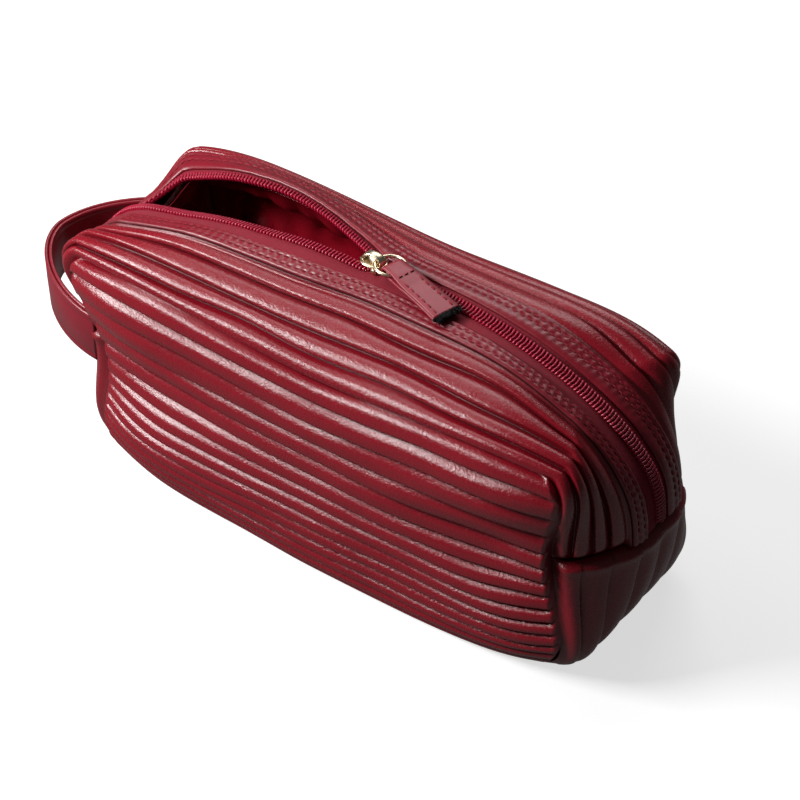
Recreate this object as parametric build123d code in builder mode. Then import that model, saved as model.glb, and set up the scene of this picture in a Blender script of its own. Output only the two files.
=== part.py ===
from build123d import *
import os
from math import cos, hypot, pi, radians, sin, sqrt

os.makedirs("parts", exist_ok=True)

# A pleated leather toiletry bag, in millimetres. The origin is the middle of the flat base, +X runs
# towards the end where the zip comes down, the front is -Y and +Z is up.

# Body of the bag
length_left = 133.0        # origin to the end that carries the strap
length_right = 127.0       # origin to the end that the zip runs down
half_width = 50.5
height = 118.0             # at the crown, under the slider
girth_level = 56.0         # height at which the ends stand out furthest
crown_radius = 325.0       # lengthwise arch of the top, which the zip follows
shoulder_drop = 21.0       # crown down to the top edge of the walls, at mid length
shoulder_rise = 42.0       # how much of that is made up towards the ends, whose corners stand up
base_sink = 2.0            # depth by which the form is cut flat underneath
crown_power = 2.41         # how square the ends are, seen from the side, above the girth
foot_power = 4.0           # the same below the girth
plan_power = 4.6           # how square the ends are, seen from above
section_power = 7.0        # how square the cross section is
end_pinch = 8.0            # how far the corner seams draw the ends in at mid height

# Sewn layers, from the outside in
leather = 1.3
pleat_depth = 1.1
pleats_per_side = 16
pleat_step = 0.8           # width of the step under each fold
padding = 1.7
lining = 0.8
layer_gap = 0.15
girth_points = 20          # points that shape each smooth half section
end_sections = 7           # sections that shape each end
end_angle = radians(80)    # where the last of them is, seen as a turn about the middle

# Lower end flaps, the turned-up ends of the base panel, which puff out past the rest
flap_height = 57.0
flap_half_width = 40.0
flap_puff = 3.0

# Zip
zip_y = -1.5               # the chain lies a little to the front of the middle
facing_inner = 8.4         # chain centre to the facing's folded edge
facing_width = 7.2
facing_gap = 0.2           # between the facing and the first pleat
tape_inner = 1.6
tape_width = 12.4
tape_thickness = 0.6
chain_half_width = 3.0
chain_proud = 0.3          # how far the chain stands above the facings
rail_width = 1.2
rail_drop = 0.5            # top of the rail below the tips of the teeth
rail_step = 0.2            # rail edge past the ends of the teeth
strip_pitch = 5.0          # spacing of the sections along the zip's strips
tooth_pitch = 2.6
tooth_length = 1.0
tooth_reach = 0.9          # how far a tooth passes the chain's centre line
chain_end_z = 67.0         # where the zip ends, low on the right end
mouth_end = -132.2         # where the open lips meet, low on the left end
mouth_front = 1.2          # how far the open lips stand off their closed line
mouth_back = 12.3
mouth_run = 60.0           # length over which the open back lip draws away from the slider
mouth_close = 28.0         # how far in from there they begin to draw together
split_shift = 1.9          # how far each half of the chain is parted by the slider's wedge

# Slider
slider_x = -3.0
slider_length = 10.8
slider_width = 8.6
slider_corner = 2.4
plate_thickness = 0.9
channel_gap = 0.15
flange_thickness = 0.75
flange_length = 1.9
flange_middle = 2.4        # from the slider's middle, on the tail half where the coils are closed
wedge_width = 1.8
wedge_tip = 0.7
wedge_length = 2.8
crown_height = 3.9
crown_width = 3.8
crown_length = 8.8
tunnel_x = 1.5             # from the slider's middle towards its tail
tunnel_width = 2.6
tunnel_height = 2.3

# Ring and pull tab
ring_radius = 5.7          # centre line
ring_wire = 1.4
ring_gap = 0.45            # wire to the plate it lies over
pull_yaw = -15.6           # degrees from +X, towards the front
tab_fold = 0.9             # ring centre to the fold of the tab
tab_length = 33.0          # ring centre to the cut end
tab_width = 11.0
tab_fold_width = 9.0
tab_taper = 14.0           # ring centre to where the tab is at its full width and flat
tab_leather = 1.2
tab_wire_gap = 0.15

# Strap
strap_width = 22.0
strap_leather = 1.6
strap_level = 55.0
strap_root = -114.0        # just clear of the corner seams
strap_reach = 39.1         # from the root to the far side of the loop
strap_half_span = 42.5
strap_power = 2.2
strap_sides = 24           # straight runs that shape the loop


def rise(share):
    """Quarter sine from 0 to 1, held at both ends."""
    return sin(pi / 2 * min(max(share, 0.0), 1.0))


def ease(share):
    share = min(max(share, 0.0), 1.0)
    return share * share * (3 - 2 * share)


def rounded(share, power):
    """Height of a unit superellipse at this share of its half length."""
    return max(1 - abs(share) ** power, 0.0) ** (1 / power)


def end_length(x):
    return length_right if x > 0 else length_left


def crown_z(x):
    """Height of the crown line: a true arc over the zip's run, rounded off at the ends."""
    arch = height - crown_radius + sqrt(crown_radius**2 - min(abs(x), crown_radius / 2) ** 2)
    end = girth_level + (height - girth_level) * rounded(x / end_length(x), crown_power)
    blend = ease((abs(x) - 0.55 * end_length(x)) / (0.2 * end_length(x)))
    return arch + (end - arch) * blend


def foot_z(x):
    return (girth_level + base_sink) * (1 - rounded(x / end_length(x), foot_power)) - base_sink


def wall_y(x):
    return half_width * rounded(x / end_length(x), plan_power)


def shoulder(x):
    """Drop from the crown to the edge of the top. Near the ends it is below zero."""
    return shoulder_drop - shoulder_rise * (x / end_length(x)) ** 2


def dome(x, across):
    """Drop of the top surface below the crown line at this share of the half width."""
    return shoulder(x) * abs(across) ** 1.7


def section_point(x, angle, inset):
    """Point of the cross section at x, set in from the surface. Angle 0 is the front, 90 the crown."""
    across = cos(angle)
    lift = sin(angle)
    y = (1 if across > 0 else -1) * abs(across) ** (2 / section_power)
    rise_z = (1 if lift > 0 else -1) * abs(lift) ** (2 / section_power)
    low, high = foot_z(x), crown_z(x)
    pinch = end_pinch * (x / end_length(x)) ** 4 * (1 - rise_z**2)
    spread = max(wall_y(x) - inset - pinch, 1.0)
    z = low + inset + (rise_z + 1) / 2 * (high - low - 2 * inset)
    return -y * spread, z - dome(x, y) * ease((rise_z + 0.3) / 1.3) * (high - low) / height


def stations(inset):
    """Places of the lofted sections, closer together towards the rounded ends."""
    places = []
    for i in range(-end_sections, end_sections + 1):
        reach = end_length(i) - inset
        places.append(reach * sin(end_angle * sin(pi / 2 * i / end_sections)))
    return places


def half_girth(x, inset, steps=240):
    """Front half of the section as points with their distance along it, from crown to foot."""
    points = []
    run = 0.0
    for i in range(steps + 1):
        angle = pi / 2 - pi * i / steps
        y, z = section_point(x, angle, inset)
        if points:
            run += hypot(y - points[-1][1], z - points[-1][2])
        points.append((run, y, z))
    return points


def at_run(points, run):
    """Point and outward normal at a distance along a half girth."""
    for near, far in zip(points, points[1:]):
        if far[0] >= run or far is points[-1]:
            break
    share = (run - near[0]) / max(far[0] - near[0], 1e-9)
    y = near[1] + share * (far[1] - near[1])
    z = near[2] + share * (far[2] - near[2])
    dy, dz = far[1] - near[1], far[2] - near[2]
    size = hypot(dy, dz)
    return (y, z), (dz / size, -dy / size)


def pleated_outline(x):
    """Front half of a section from crown to foot, with knife pleats whose folds face down."""
    points = half_girth(x, 0)
    run_end = next(p[0] for p in points if p[2] < foot_z(x) + 0.02 * height)
    share = wall_y(x) / half_width
    start = (facing_outer - zip_y) * share
    outline = [points[0][1:], at_run(points, start * 0.5)[0]]
    pitch = (run_end - start) / pleats_per_side
    for i in range(pleats_per_side):
        crease, _ = at_run(points, start + i * pitch)
        edge, out = at_run(points, start + (i + 1) * pitch - pleat_step * share)
        outline.append(crease)
        outline.append((edge[0] + out[0] * pleat_depth * share, edge[1] + out[1] * pleat_depth * share))
    outline.append(at_run(points, run_end)[0])
    outline.append(points[-1][1:])
    return outline


def smooth_outline(x, inset):
    """Front half of a section set in by inset, as evenly spaced points."""
    points = half_girth(x, inset)
    return [at_run(points, points[-1][0] * i / girth_points)[0] for i in range(girth_points + 1)]


def body_form(inset, side=0, pleated=False, stretch=1.0):
    """Closed form of the bag, or its front (-1) or back (1) half, set in from its surface by inset."""
    with BuildPart() as form:
        for x in stations(inset):
            outline = pleated_outline(x) if pleated else smooth_outline(x, inset)
            if side:
                outline[0] = (-layer_gap / 2, outline[0][1])
                outline[-1] = (-layer_gap / 2, outline[-1][1])
                outline = [(-side * y, z) for y, z in outline]
            else:
                outline += [(-y, z) for y, z in reversed(outline[1:-1])]
            with BuildSketch(Plane.YZ.offset(x * stretch)):
                with BuildLine():
                    Polyline(*outline, close=True)
                make_face()
        loft(ruled=True)
        split(bisect_by=Plane.XY.offset(inset), keep=Keep.TOP)
    return form.part


def mouth(x):
    """How open the mouth is at x, from 0 where it is zipped to 1."""
    return rise((slider_x - x) / mouth_run) * rise((x - mouth_end) / mouth_close)


def lip_y(x, offset, side):
    """Y of a line of the zip at x: offset from the chain's centre, on side -1 (front) or 1."""
    opening = mouth_front if side < 0 else mouth_back
    parted = split_shift * ease((slider_x + slider_length * 0.2 - x) / (slider_length / 2))
    parted *= rise((x - mouth_end) / mouth_close)
    return zip_y + side * (offset + parted + opening * mouth(x))


def chain_stations(pitch):
    """Points about pitch apart along the chain, from its left end to its right, with the run's direction."""
    fine = []
    run = 0.0
    for i in range(1201):
        angle = pi * (i / 1200 - 0.5)
        reach = abs(sin(angle)) ** (2 / crown_power)
        x = reach * length_right if angle > 0 else -reach * length_left
        if x >= mouth_end and crown_z(x) >= chain_end_z:
            if fine:
                run += hypot(x - fine[-1][1], crown_z(x) - fine[-1][2])
            fine.append((run, x, crown_z(x)))
    count = round(run / pitch)
    places = []
    for i in range(count + 1):
        due = run * i / count
        near, far = next(pair for pair in zip(fine, fine[1:]) if pair[1][0] >= due - 1e-6)
        step = far[0] - near[0]
        share = (due - near[0]) / step
        along = ((far[1] - near[1]) / step, (far[2] - near[2]) / step)
        places.append((near[1] + share * (far[1] - near[1]), near[2] + share * (far[2] - near[2]), along))
    return places


def sag(x, y):
    """Drop of the top surface below the crown line at this x and y."""
    return shoulder(x) * abs(y / half_width) ** 1.7


def zip_strip(side, inner, outer, depth, thickness, pitch=strip_pitch):
    """Strip along the zip between two of its lines, its outer face set in by depth."""
    with BuildPart() as strip:
        for x, z, (along_x, along_z) in chain_stations(pitch):
            near, far = lip_y(x, inner, side), lip_y(x, outer, side)
            near_top = -depth - sag(x, near) * along_x
            far_top = -depth - sag(x, far) * along_x
            with BuildSketch(Plane((x, 0, z), x_dir=(0, 1, 0), z_dir=(along_x, 0, along_z))):
                with BuildLine():
                    Polyline(
                        (near, near_top),
                        (far, far_top),
                        (far, far_top - thickness),
                        (near, near_top - thickness),
                        close=True,
                    )
                make_face()
        loft(ruled=True)
    return strip.part


window_foot = chain_end_z - leather - layer_gap - tape_thickness - facing_gap


def upright(line_a, line_b):
    """Upright block over the zip whose plan lies between two of its lines, each (offset, side)."""
    edges = []
    for line in (line_a, line_b):
        edge = [(-length_left - 2 * flap_puff, lip_y(mouth_end, *line))]
        for x, _, (along_x, along_z) in chain_stations(strip_pitch):
            if x < length_right * 0.8:
                y = lip_y(x, *line)
                edge.append((x + along_z * along_x * sag(x, y), y))
        edge.append((length_right + 2 * flap_puff, lip_y(length_right, *line)))
        edges.append(edge)
    with BuildPart() as block:
        with BuildSketch(Plane.XY.offset(window_foot)):
            with BuildLine():
                Polyline(*edges[0], *reversed(edges[1]), close=True)
            make_face()
        extrude(amount=height)
    return block.part


# Depths of the layers below the surface
facing_outer = facing_inner + facing_width
tape_outer_line = tape_inner + tape_width
tape_depth = leather + layer_gap
padding_depth = leather + layer_gap
lining_depth = padding_depth + padding + layer_gap
window = upright((facing_outer + facing_gap, -1), (facing_outer + facing_gap, 1))
span = 2 * (length_left + length_right)
on_floor = (Align.CENTER, Align.CENTER, Align.MIN)
flap_box = Box(span, 2 * flap_half_width, flap_height, align=on_floor)
seam_box = Box(
    span, 2 * (flap_half_width + layer_gap), flap_height + layer_gap, align=on_floor
)

for side, name in ((-1, "front"), (1, "back")):
    # Outer leather: wall, its share of the top and its share of the ends above the flaps, pleated
    with BuildPart() as outer:
        add(body_form(0, side, pleated=True))
        add(body_form(leather, side), mode=Mode.SUBTRACT)
        add(seam_box, mode=Mode.SUBTRACT)
        add(window, mode=Mode.SUBTRACT)
    outer.part.label = "outer_" + name
    export_step(outer.part, "parts/outer_" + name + ".step")

    # Padding that backs the leather
    with BuildPart() as backing:
        add(body_form(padding_depth, side))
        add(body_form(padding_depth + padding, side), mode=Mode.SUBTRACT)
        add(window, mode=Mode.SUBTRACT)
    backing.part.label = "padding_" + name
    export_step(backing.part, "parts/padding_" + name + ".step")

    # Satin lining
    with BuildPart() as satin:
        add(body_form(lining_depth, side))
        add(body_form(lining_depth + lining, side), mode=Mode.SUBTRACT)
        add(window, mode=Mode.SUBTRACT)
    satin.part.label = "lining_" + name
    export_step(satin.part, "parts/lining_" + name + ".step")

    # Facing: a flat leather strip over the zip tape
    facing = zip_strip(side, facing_inner, facing_outer, 0, leather)
    facing.label = "facing_" + name
    export_step(facing, "parts/facing_" + name + ".step")

    tape = zip_strip(side, tape_inner, tape_outer_line, tape_depth, tape_thickness)
    tape.label = "zip_tape_" + name
    export_step(tape, "parts/zip_tape_" + name + ".step")

# Base panel: the flat base with both ends turned up as puffed flaps
with BuildPart() as base_panel:
    add(body_form(0, stretch=1 + 2 * flap_puff / (length_left + length_right)))
    add(flap_box, mode=Mode.INTERSECT)
    add(body_form(leather), mode=Mode.SUBTRACT)
base_panel.part.label = "base_panel"
export_step(base_panel.part, "parts/base_panel.step")

# Chain: two coils, each a rail with teeth that pass between the other's where the zip is closed
tooth_height = leather + chain_proud
tooth_span = chain_half_width + tooth_reach - rail_step
for side, name in ((-1, "front"), (1, "back")):
    tooth_middle = (chain_half_width - rail_step - tooth_reach) / 2
    seats = []
    for x, z, (along_x, along_z) in chain_stations(tooth_pitch / 2)[(2 if side < 0 else 3):-2:2]:
        y = lip_y(x, tooth_middle, side)
        depth = sag(x, y) * along_x + leather - tooth_height / 2
        centre = (x + along_z * depth, y, z - along_x * depth)
        seats.append(Plane(centre, x_dir=(along_x, 0, along_z), z_dir=(-along_z, 0, along_x)))
    with BuildPart() as coil:
        add(zip_strip(side, chain_half_width - rail_width, chain_half_width,
                      rail_drop - chain_proud, tooth_height - rail_drop, strip_pitch / 2))
        with Locations(*seats):
            Box(tooth_length, tooth_span, tooth_height)
    coil.part.label = "zip_coil_" + name
    export_step(coil.part, "parts/zip_coil_" + name + ".step")

# Slider: two plates joined by a wedge at the nose, with flanges that hold the closed chain
slider_lean = slider_x / crown_radius
slider_top = crown_z(slider_x)
slider_plane = Plane(
    (slider_x, zip_y, slider_top), x_dir=(1, 0, -slider_lean), z_dir=(slider_lean, 0, 1)
)
edge_sag = sag(slider_x, abs(zip_y) + slider_width / 2)
channel_top = chain_proud + channel_gap
channel_floor = -(tape_depth + tape_thickness + edge_sag + 2 * channel_gap)
flange_foot = -(tape_depth - channel_gap)
with BuildPart() as slider_body:
    with BuildSketch(slider_plane.offset(channel_top)):
        RectangleRounded(slider_length, slider_width, slider_corner)
    extrude(amount=plate_thickness)
    fillet(slider_body.edges().group_by(Axis.Z)[-1], plate_thickness * 0.5)
    with BuildSketch(slider_plane.offset(channel_floor)):
        RectangleRounded(slider_length, slider_width, slider_corner)
    extrude(amount=-plate_thickness)
    with BuildSketch(slider_plane.offset(channel_floor)):
        with BuildLine():
            Polyline(
                (-slider_length / 2 + 0.6, -wedge_width / 2),
                (-slider_length / 2 + 0.6 + wedge_length, -wedge_tip / 2),
                (-slider_length / 2 + 0.6 + wedge_length, wedge_tip / 2),
                (-slider_length / 2 + 0.6, wedge_width / 2),
                close=True,
            )
        make_face()
    extrude(amount=channel_top - channel_floor)
    flange_y = chain_half_width + 3 * channel_gap + flange_thickness / 2
    with BuildSketch(slider_plane.offset(flange_foot)):
        with Locations((flange_middle, flange_y), (flange_middle, -flange_y)):
            Rectangle(flange_length, flange_thickness)
    extrude(amount=channel_top - flange_foot)
slider_body.part.label = "slider_body"
export_step(slider_body.part, "parts/slider_body.step")

# Crown: a humped cap on the upper plate, with a tunnel for the ring
plate_top = channel_top + plate_thickness
crown_base = slider_plane.offset(plate_top)
crown_side = Plane(crown_base.origin, x_dir=crown_base.x_dir, z_dir=-crown_base.y_dir)
with BuildPart() as slider_crown:
    with BuildSketch(crown_side):
        with BuildLine():
            foot = Line((-crown_length / 2, 0), (crown_length / 2, 0))
            Spline(
                foot @ 0,
                (-crown_length * 0.3, crown_height * 0.72),
                (0, crown_height),
                (crown_length * 0.32, crown_height * 0.86),
                foot @ 1,
                tangents=((0.25, 1), (0.1, -1)),
            )
        make_face()
        with Locations((tunnel_x, tunnel_height / 2 - 0.1)):
            RectangleRounded(tunnel_width, tunnel_height + 0.2, 0.7, mode=Mode.SUBTRACT)
    extrude(amount=crown_width / 2, both=True)
slider_crown.part.label = "slider_crown"
export_step(slider_crown.part, "parts/slider_crown.step")

# Ring through the crown's tunnel, lying back over the closed chain
ring_level = slider_top + plate_top + ring_gap + ring_wire / 2
ring_centre = (slider_x + tunnel_x + ring_radius, zip_y, ring_level)
with BuildPart() as pull_ring:
    with BuildSketch(Plane(ring_centre, x_dir=(1, 0, 0), z_dir=(0, 1, 0))):
        with Locations((ring_radius, 0)):
            Circle(ring_wire / 2)
    revolve(axis=Axis(ring_centre, (0, 0, 1)))
pull_ring.part.label = "pull_ring"
export_step(pull_ring.part, "parts/pull_ring.step")

# Tab: a leather strip through the ring, folded over its far half and closed flat beyond it
tab_plane = Plane(ring_centre, x_dir=(cos(radians(pull_yaw)), sin(radians(pull_yaw)), 0))
tab_side = Plane(ring_centre, x_dir=tab_plane.x_dir, z_dir=-tab_plane.y_dir)
pocket = ring_wire / 2 + tab_wire_gap
pocket_end = ring_radius + ring_wire / 2 + 2 * tab_wire_gap
with BuildPart() as pull_tab:
    with BuildSketch(tab_side):
        with BuildLine():
            Polyline(
                (tab_fold + pocket, -pocket - tab_leather),
                (pocket_end, -pocket - tab_leather),
                (tab_taper, -tab_leather),
                (tab_length, -tab_leather),
                (tab_length, tab_leather),
                (tab_taper, tab_leather),
                (pocket_end, pocket + tab_leather),
                (tab_fold + pocket, pocket + tab_leather),
            )
            TangentArc(
                (tab_fold + pocket, pocket + tab_leather),
                (tab_fold + pocket, -pocket - tab_leather),
                tangent=(-1, 0),
            )
        make_face()
        with BuildLine():
            Polyline(
                (tab_fold + tab_leather + pocket, -pocket),
                (pocket_end, -pocket),
                (tab_taper - tab_leather, 0),
                (pocket_end, pocket),
                (tab_fold + tab_leather + pocket, pocket),
            )
            TangentArc(
                (tab_fold + tab_leather + pocket, pocket),
                (tab_fold + tab_leather + pocket, -pocket),
                tangent=(-1, 0),
            )
        make_face(mode=Mode.SUBTRACT)
    extrude(amount=tab_width, both=True)
    with BuildSketch(tab_plane.offset(-10)):
        with BuildLine():
            Polyline(
                (-5, -tab_fold_width / 2),
                (pocket_end, -tab_fold_width / 2),
                (tab_taper, -tab_width / 2),
                (tab_length, -tab_width / 2),
                (tab_length, tab_width / 2),
                (tab_taper, tab_width / 2),
                (pocket_end, tab_fold_width / 2),
                (-5, tab_fold_width / 2),
                close=True,
            )
        make_face()
    extrude(amount=20, mode=Mode.INTERSECT)
pull_tab.part.label = "pull_tab"
export_step(pull_tab.part, "parts/pull_tab.step")


def strap_line(offset):
    """Plan of the strap loop, offset outwards from its middle line."""
    points = []
    for i in range(strap_sides + 1):
        angle = pi * i / strap_sides - pi / 2
        along = abs(cos(angle)) ** (2 / strap_power)
        across = (1 if angle > 0 else -1) * abs(sin(angle)) ** (2 / strap_power)
        points.append(
            (strap_root - (strap_reach + offset) * along, (strap_half_span + offset) * across)
        )
    return points


# Strap: two layers of leather in a loop on edge, its ends rounded about the line it swings on
strap_pivot = (strap_root - strap_width / 2, 0, strap_level)
strap_gap = layer_gap / 2
for name, near, far in (
    ("strap_inner", -strap_gap - strap_leather, -strap_gap),
    ("strap_outer", strap_gap, strap_gap + strap_leather),
):
    with BuildPart() as strap:
        with BuildSketch(Plane.XY.offset(strap_level - strap_width / 2)):
            with BuildLine():
                Polyline(*strap_line(near), *reversed(strap_line(far)), close=True)
            make_face()
        extrude(amount=strap_width)
        with BuildSketch(Plane(strap_pivot, x_dir=(-1, 0, 0), z_dir=(0, 1, 0))):
            Circle(strap_width / 2)
            Rectangle(2 * strap_reach, strap_width, align=(Align.MIN, Align.CENTER))
        extrude(amount=2 * strap_half_span, both=True, mode=Mode.INTERSECT)
    strap.part.label = name
    export_step(strap.part, "parts/" + name + ".step")
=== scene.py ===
"""Looks of a pleated leather toiletry bag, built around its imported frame.

Shapes are worked out in millimetres and become metres when a mesh is made. The bag's form is a cube
whose faces are rounded onto each other: xi runs along the bag, eta across it and zeta up, each -1 to 1.
"""

import math

import bpy
import numpy as np
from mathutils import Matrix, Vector


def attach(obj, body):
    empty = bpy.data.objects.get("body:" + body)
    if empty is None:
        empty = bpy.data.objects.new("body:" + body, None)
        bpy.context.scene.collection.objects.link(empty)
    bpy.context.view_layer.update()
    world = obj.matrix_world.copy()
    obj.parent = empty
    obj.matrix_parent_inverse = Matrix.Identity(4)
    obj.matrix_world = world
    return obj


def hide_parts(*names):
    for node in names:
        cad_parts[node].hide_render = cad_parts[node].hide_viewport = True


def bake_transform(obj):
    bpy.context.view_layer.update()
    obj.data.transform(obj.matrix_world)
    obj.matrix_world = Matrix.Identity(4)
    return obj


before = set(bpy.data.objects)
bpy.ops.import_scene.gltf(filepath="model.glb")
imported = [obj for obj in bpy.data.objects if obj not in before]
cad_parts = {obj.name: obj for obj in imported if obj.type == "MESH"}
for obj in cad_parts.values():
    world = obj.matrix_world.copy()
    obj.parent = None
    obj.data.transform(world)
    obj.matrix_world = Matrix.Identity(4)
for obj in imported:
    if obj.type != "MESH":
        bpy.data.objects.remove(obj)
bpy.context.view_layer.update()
scene = bpy.context.scene
MM = 0.001

# Body form. The powers say how square the edges between the cube's faces are, low down and high up
HALF_LENGTH = 127.5
HALF_WIDTH = 50.55
HEIGHT = 118.3
POWER_XZ = (3.32, 2.41)
POWER_XY = 2.43
POWER_YZ = (8.42, 7.28)
POWER_CORNER = (5.29, 5.12)
POWER_FACE = 4.0
WEIGHT_FACE = 0.02
SHORT_LEFT = 4.0
SINK = 5.4
FLOOR_EASE = 2.0
FLOOR_DROP = 0.3
DOME = {"middle": 20.3, "right": 11.6, "left": 7.3}
DOME_POWER = 1.7
DROP = {"right": -0.3, "left": 5.6}
LEAN = {"right": 3.35, "left": 12.8}
LEAN_START = 10
LEAN_RUN = 90
PUSH = {"right": 9.5, "left": 7.0}
PUSH_BACK_RIGHT = 0.35
PUSH_ACROSS = 0.35
CORNER_SPREAD = (0.35, 0.45)
PINCH = 9.0
PINCH_ZETA = 0.5
PINCH_SPREAD = 0.4
FOOT_HEIGHT = 32
FOOT_TUCK = 5.5
FOOT_DRAW = 0.5
CORE_HALF_LENGTH = 95
CORE_WIDTH_SHARE = 0.45
CORE_HEIGHT = 56.0
END_SEAM_Z = 57.0

# Leather, pleats and the layers under them
LEATHER = 1.3
PADDING_DEPTH = 8.5
PADDING = 1.6
LINING_DEPTH = 10.4
WALL_PLEATS = 14
WALL_PLEAT_TOP = 13.5
WALL_PLEAT_FOOT = 5.6
WALL_PLEAT_DEPTH = 2.4
WALL_DEPTH_POWER = 0.75
WALL_DEPTH_VARIES = 0.35
WALL_WANDER = 0.008
WALL_END_CALM = 13
WALL_COLUMNS = 170
TOP_PLEATS = 4
TOP_PLEAT_DEPTH = 2.2
TOP_DEPTH_VARIES = 0.3
TOP_WANDER = 0.045
TOP_ROWS = 250
BASE_PLEATS = 8
BASE_PLEAT_DEPTH = 1.7
BASE_DEPTH_VARIES = 0.3
SEAM_DEPTH = 4.2
SEAM_REACH = 7.0
FLAP_SEAM_REACH = 3.2
EDGE_SINK = 1.4
WALL_SWELL = 1.1
TOP_SWELL = 0.7
TOP_DEEPEST = 4.4
LIP_SET_IN = 0.7
FLAP_PUFF = 1.0
FLAP_PUFF_LEFT = 0.3
FLAP_BEAD = 0.6
FLAP_DRAW = 0.3

# Zip
ZIP_Y = -1.5
FACING_OUTER = 15.6
FACING_BACK_REACH = 3.3
CHAIN_HALF_WIDTH = 3.0
SLIDER_X = -3.0
SLIDER_LENGTH = 10.8
SPLIT_SHIFT = 1.9
MOUTH_FRONT = 1.2
MOUTH_BACK = 16.0
MOUTH_RUN = 60.0
MOUTH_END = -124.0
MOUTH_END_RUN = 24.0
TAPE_REACH = 5
SPLIT_AT = {"chain": 2.2, "leather": 14.0}
LEATHER_RUN = 42.0
LEATHER_LEAD = 16
LEATHER_LAG = 22
LIP_LIFT = 2.5
LIP_LIFT_REACH = 22
LIFT_BY_SLIDER = 0.4
LIFT_BY_LEFT_END = 0.9
FACING_PUCKER = 0.13
COIL_PITCH = 1.5
COIL_HALF_WIDTH = 1.5
COIL_HALF_HEIGHT = 0.62
COIL_SET_IN = 0.45
COIL_WIRE = 0.6
STITCH_PITCH = 3.3
STITCH_START = 3.3
STITCH_LENGTH = 2.3
STITCH_RADIUS = 0.26
STITCH_ROWS = (10.3, 13.3)

# Slider, tab and strap
SLIDER_WIDTH = 8.6
SLIDER_TOP = 118.0
SLIDER_LEAN = 0.0092
CROWN_HALF_LENGTH = 4.0
CROWN_RISE = 3.15
CROWN_THICKNESS = 0.62
TAB_ORIGIN = (4.2, -1.5, 120.49)
TAB_TURN = math.radians(-15.6)
TAB_DIRECTION = (math.cos(TAB_TURN), math.sin(TAB_TURN))
TAB_LENGTH = 33.0
TAB_WIDENS = ((0, 4.3), (6, 4.5), (12, 5.2), (24, 5.5), (TAB_LENGTH, 5.9))
TAB_DROOP = 2.4
TAB_LAYER = 0.62
TAB_BEND = 1.45
TAB_BEND_PLACE = 1.75
TAB_STITCH_RADIUS = 0.34
FIBRES = 90
FIBRE_RADIUS = 0.16
STRAP_ROOT = -112.6
STRAP_REACH = 48.0
STRAP_SPAN_FRONT = 35.0
STRAP_SPAN_BACK = 43.7
STRAP_LEVEL = 52.6
STRAP_RISE = 1.5
STRAP_TILT = 0.06
STRAP_POWER = 1.75
STRAP_LAYERS = {"inner": (-1.75, -0.12), "outer": (0.12, 1.75)}

# Stage. A lamp has a place, a target, a size and a power
FLOOR_GLOW = 0.66
FLOOR_REFLECTED = 0.2
WORLD_LIGHT = 0.045
LAMPS = {
    "key": ((-0.62, -0.46, 0.62), (-0.05, 0, 0.07), (0.42, 0.14), 9.8),
    "top": ((-0.45, 0.2, 1.0), (0, 0, 0.08), (0.8, 0.16), 1.7),
    "rim": ((-0.35, 0.8, 0.9), (0, 0, 0.08), (0.8, 0.4), 3.5),
}
CAMERA_AZIMUTH = math.radians(36.15)
CAMERA_ELEVATION = math.radians(41.32)
CAMERA_DISTANCE = 1.2
CAMERA_TARGET = (0, 0, 0.045)
SENSOR_WIDTH = 36.0
LENS = 140.71
LENS_SHIFT = (0.0207, 0.0169)


def ease(t):
    t = np.clip(t, 0.0, 1.0)
    return t * t * (3 - 2 * t)


def rise(t):
    return np.sin(math.pi / 2 * np.clip(t, 0.0, 1.0))


def mix(a, b, t):
    return a + (b - a) * t


def bell(value, width):
    return np.exp(-((value / width) ** 2))


def squared_up(value, power):
    """A sine or cosine raised to a power with its sign kept."""
    return math.copysign(abs(value) ** power, value)


def smooth_noise(u, v, cell_u, cell_v, seed):
    """Smooth noise from -1 to 1 over two coordinates, with cells of the given sizes."""
    table = np.random.default_rng(seed).uniform(-1, 1, (64, 64))
    u, v = np.asarray(u, float) / cell_u, np.asarray(v, float) / cell_v
    iu, iv = np.floor(u).astype(int), np.floor(v).astype(int)
    fu, fv = ease(u - iu), ease(v - iv)
    near = mix(table[iu % 64, iv % 64], table[(iu + 1) % 64, iv % 64], fu)
    far = mix(table[iu % 64, (iv + 1) % 64], table[(iu + 1) % 64, (iv + 1) % 64], fu)
    return mix(near, far, fv)


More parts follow.
